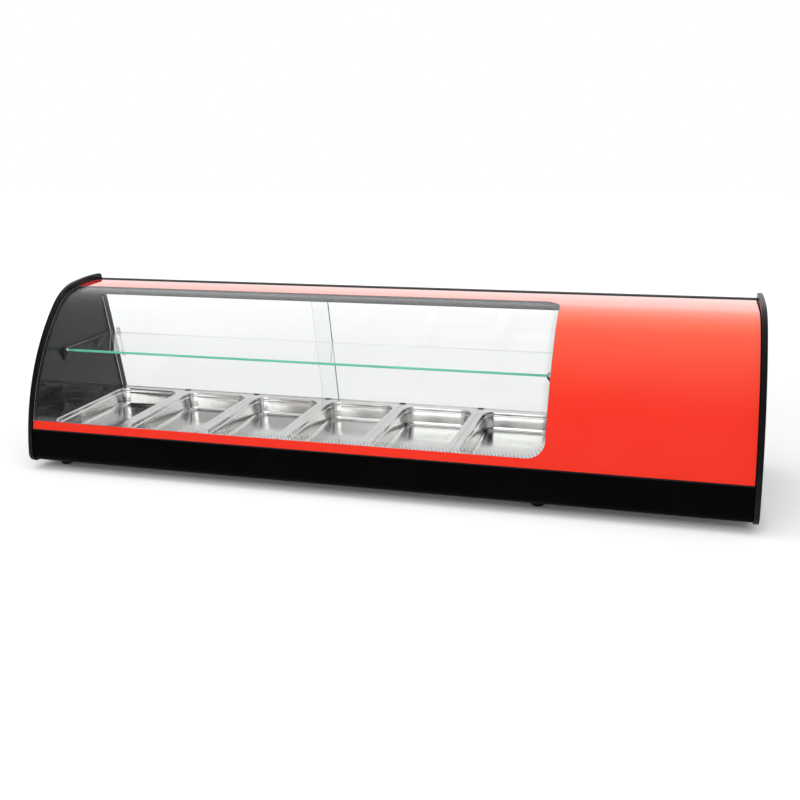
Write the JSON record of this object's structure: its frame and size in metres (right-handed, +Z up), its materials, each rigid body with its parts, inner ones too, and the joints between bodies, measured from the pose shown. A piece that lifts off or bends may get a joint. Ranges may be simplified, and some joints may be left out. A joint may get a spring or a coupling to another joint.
{
  "type": "refrigerated deli case",
  "caption": "Counter-top refrigerated display case with a curved printed front glass, gastronorm pans in a cold well, a glass shelf, a lamp and sliding rear doors.",
  "frame": {"origin": "on the surface the case stands on, under the middle of its length and depth", "axes": "+X to the right-hand end seen from the front, -Y out of the curved front glass, +Z up"},
  "size_m": [1.4564, 0.4246, 0.3772],
  "materials": {
    "panel_black": "gloss black moulded panel",
    "fascia_black": "gloss black paint",
    "clear_glass": "clear toughened glass",
    "shelf_glass": "clear glass with polished green edges",
    "stainless": "brushed stainless steel",
    "galvanised": "galvanised sheet",
    "liner_grey": "satin dark grey paint",
    "aluminium_profile": "satin anodised",
    "track_black": "satin black plastic",
    "seal_grey": "matt grey sealing strip",
    "rubber_black": "matt black rubber",
    "foam": "rigid foam",
    "copper": "copper pipe",
    "condenser_metal": "aluminium fins",
    "compressor_black": "satin black paint",
    "plastic_black": "matt black plastic",
    "key_grey": "satin grey plastic",
    "diffuser_white": "frosted plastic",
    "board_green": "lacquered board",
    "zinc_steel": "zinc plated"
  },
  "bodies": {
    "case": {"left_end_panel": "panel_black", "right_end_panel": "panel_black", "left_liner": "liner_grey", "right_liner": "liner_grey", "machine_partition": "liner_grey", "glass_side_seals": "seal_grey", "glass_sill_seal": "seal_grey", "glass_hinge_pins": "zinc_steel", "top_rail": "fascia_black", "front_fascia": "fascia_black", "base_pan": "galvanised", "rear_fascia": "fascia_black", "foot_front_left": "rubber_black", "foot_front_right": "rubber_black", "foot_rear_left": "rubber_black", "foot_rear_right": "rubber_black", "foam_insulation": "foam", "cold_well": "stainless", "evaporator_coil": "copper", "pan_frame": "stainless", "pan_support_bars": "stainless", "pan_clips": "plastic_black", "shelf_glass": "shelf_glass", "shelf_rails": "aluminium_profile", "lamp_housing": "aluminium_profile", "led_board": "board_green", "lamp_diffuser": "diffuser_white", "door_lower_track": "track_black", "door_upper_track": "track_black", "door_jambs": "track_black", "condenser": "condenser_metal", "fan_shroud": "plastic_black", "fan_motor": "compressor_black", "compressor": "compressor_black", "compressor_mounts": "compressor_black", "filter_drier": "copper", "refrigerant_lines": "copper", "machine_cover": "fascia_black", "controller_housing": "plastic_black", "switch_housings": "plastic_black", "power_inlet_gland": "plastic_black", "end_panel_screws": "zinc_steel"},
    "front_glass": {"front_glass": "clear_glass", "glass_hinge_profile": "fascia_black"},
    "left_door": {"left_door": "clear_glass", "left_door_grip": "clear_glass"},
    "right_door": {"right_door": "clear_glass", "right_door_grip": "clear_glass"},
    "fan": {"fan_blades": "plastic_black"},
    "key_set": {"key_set": "key_grey"},
    "key_up": {"key_up": "key_grey"},
    "key_down": {"key_down": "key_grey"},
    "power_rocker": {"power_rocker": "plastic_black"},
    "light_rocker": {"light_rocker": "plastic_black"},
    "pan_1": {"pan_1": "stainless"},
    "pan_2": {"pan_2": "stainless"},
    "pan_3": {"pan_3": "stainless"},
    "pan_4": {"pan_4": "stainless"},
    "pan_5": {"pan_5": "stainless"},
    "pan_6": {"pan_6": "stainless"}
  },
  "joints": [
    {"name": "glass_lift", "type": "hinge", "parent": "case", "child": "front_glass", "pos_m": [0, 0.0955, 0.35828], "axis": [-1, 0, 0], "range_deg": [0, 50]},
    {"name": "left_door_slide", "type": "slide", "parent": "case", "child": "left_door", "axis": [1, 0, 0], "range_m": [0, 0.47]},
    {"name": "right_door_slide", "type": "slide", "parent": "case", "child": "right_door", "axis": [-1, 0, 0], "range_m": [0, 0.47]},
    {"name": "pan_1_lift", "type": "slide", "parent": "case", "child": "pan_1", "axis": [0, 0, 1], "range_m": [0, 0.05]},
    {"name": "pan_2_lift", "type": "slide", "parent": "case", "child": "pan_2", "axis": [0, 0, 1], "range_m": [0, 0.05]},
    {"name": "pan_3_lift", "type": "slide", "parent": "case", "child": "pan_3", "axis": [0, 0, 1], "range_m": [0, 0.05]},
    {"name": "pan_4_lift", "type": "slide", "parent": "case", "child": "pan_4", "axis": [0, 0, 1], "range_m": [0, 0.05]},
    {"name": "pan_5_lift", "type": "slide", "parent": "case", "child": "pan_5", "axis": [0, 0, 1], "range_m": [0, 0.05]},
    {"name": "pan_6_lift", "type": "slide", "parent": "case", "child": "pan_6", "axis": [0, 0, 1], "range_m": [0, 0.05]},
    {"name": "fan_spin", "type": "hinge", "parent": "case", "child": "fan", "pos_m": [0.495, 0.0455, 0.1252], "axis": [0, 1, 0], "continuous": true},
    {"name": "key_set_press", "type": "slide", "parent": "case", "child": "key_set", "axis": [0, -0.9659, -0.2588], "range_m": [0, 0.001], "stiffness_N_per_m": 400},
    {"name": "key_up_press", "type": "slide", "parent": "case", "child": "key_up", "axis": [0, -0.9659, -0.2588], "range_m": [0, 0.001], "stiffness_N_per_m": 400},
    {"name": "key_down_press", "type": "slide", "parent": "case", "child": "key_down", "axis": [0, -0.9659, -0.2588], "range_m": [0, 0.001], "stiffness_N_per_m": 400},
    {"name": "power_rocker_tilt", "type": "hinge", "parent": "case", "child": "power_rocker", "pos_m": [0.5875, 0.14267, 0.28375], "axis": [-1, 0, 0], "range_deg": [0, 16]},
    {"name": "light_rocker_tilt", "type": "hinge", "parent": "case", "child": "light_rocker", "pos_m": [0.6275, 0.14267, 0.28375], "axis": [-1, 0, 0], "range_deg": [0, 16]}
  ]
}
